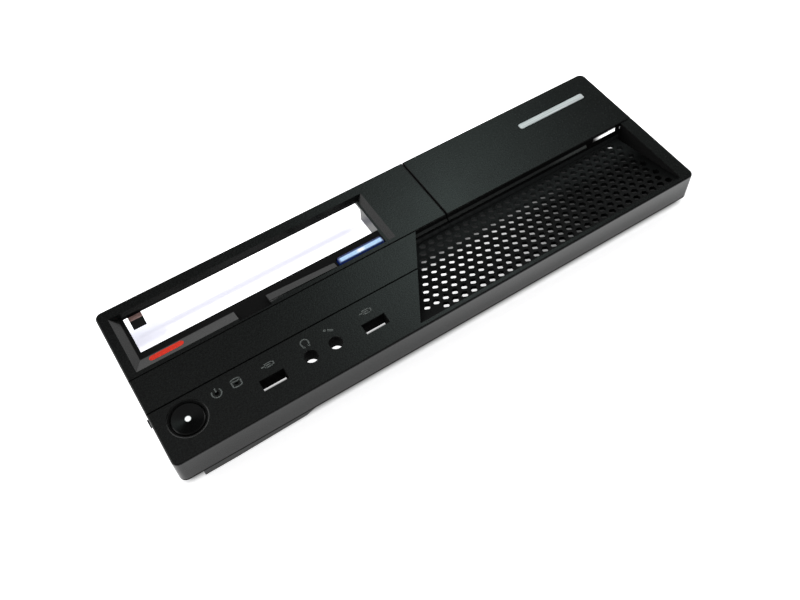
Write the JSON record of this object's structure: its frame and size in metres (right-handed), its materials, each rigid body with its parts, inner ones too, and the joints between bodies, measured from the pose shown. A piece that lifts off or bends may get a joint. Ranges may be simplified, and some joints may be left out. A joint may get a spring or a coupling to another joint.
{
  "type": "computer front bezel",
  "caption": "Black plastic front bezel of a desktop computer: bevelled optical drive slot, slanted perforated grille, blank bay cover, port holes, and sprung power and eject buttons.",
  "frame": {"origin": "middle of the bezel's plan, at the level of the locating lips' ends", "axes": "+X along the bezel to the grille's end, +Y up the face to the drive slot, +Z out of the face"},
  "size_m": [0.3416, 0.106, 0.0253],
  "materials": {
    "shell_black": "fine satin grain",
    "panel_black": "fine satin grain",
    "cover_black": "fine satin grain",
    "grille_black": "matte",
    "badge_satin": "satin",
    "pad_brown": "matte",
    "eject_blue": "gloss",
    "spring_wire": "drawn wire",
    "inner_black": "matte",
    "button_black": "satin",
    "lens_clear": "milky clear",
    "pipe_clear": "milky clear"
  },
  "bodies": {
    "bezel": {"bezel_shell": "shell_black", "drive_surround": "panel_black", "bay_cover": "cover_black", "grille_panel": "grille_black", "badge_strip": "badge_satin", "drive_stop_pad": "pad_brown", "eject_spring": "spring_wire", "eject_retainer": "inner_black", "power_spring": "spring_wire", "power_retainer": "inner_black", "light_pipe": "pipe_clear"},
    "eject": {"eject_button": "eject_blue"},
    "power": {"power_button": "button_black", "power_lens": "lens_clear"}
  },
  "joints": [
    {"name": "eject_press", "type": "slide", "parent": "bezel", "child": "eject", "axis": [0, 0, -1], "range_m": [0, 0.002], "stiffness_N_per_m": 400, "springref_m": -0.002, "deforming": ["eject_spring"]},
    {"name": "power_press", "type": "slide", "parent": "bezel", "child": "power", "axis": [0, 0, -1], "range_m": [0, 0.0018], "stiffness_N_per_m": 500, "springref_m": -0.002, "deforming": ["power_spring"]}
  ]
}
